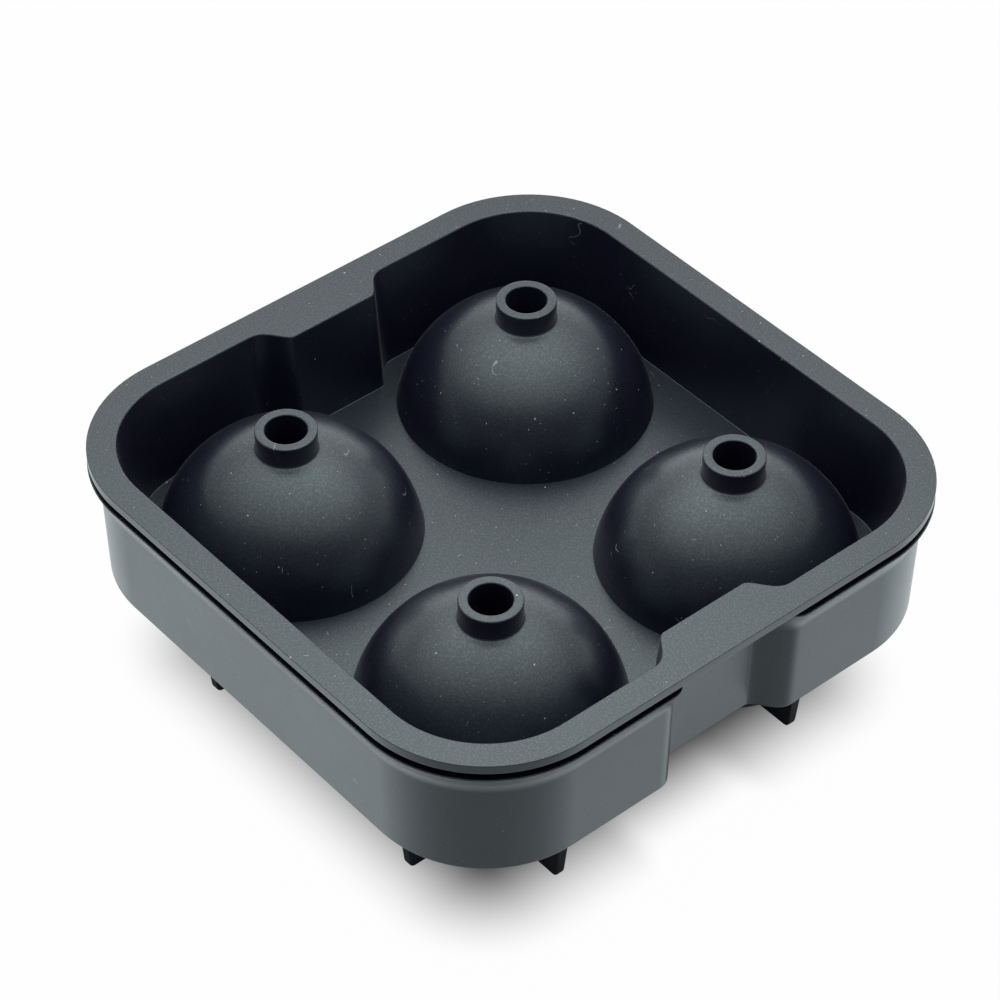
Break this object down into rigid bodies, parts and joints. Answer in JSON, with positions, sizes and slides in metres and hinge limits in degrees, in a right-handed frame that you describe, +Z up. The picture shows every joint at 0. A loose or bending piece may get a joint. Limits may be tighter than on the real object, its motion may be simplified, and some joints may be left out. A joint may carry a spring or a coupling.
{
  "type": "ice ball mold",
  "caption": "Square silicone tray mold for round ice balls: an upper half with domes and fill spouts nests in a lower half with cups on crossed fins.",
  "frame": {"origin": "on the floor, under the centre of the closed tray", "axes": "+Z up; the two finger tabs are on the +X and -X sides"},
  "size_m": [0.1204, 0.1204, 0.053],
  "materials": {
    "upper_silicone": "satin charcoal silicone with a fine moulded grain",
    "lower_silicone": "satin charcoal silicone with a fine moulded grain"
  },
  "bodies": {
    "lower_half": {"lower_mold": "lower_silicone"},
    "upper_half": {"upper_mold": "upper_silicone"}
  },
  "joints": [
    {"name": "upper_lift", "type": "slide", "parent": "lower_half", "child": "upper_half", "axis": [0, 0, 1], "range_m": [0, 0.06]}
  ]
}
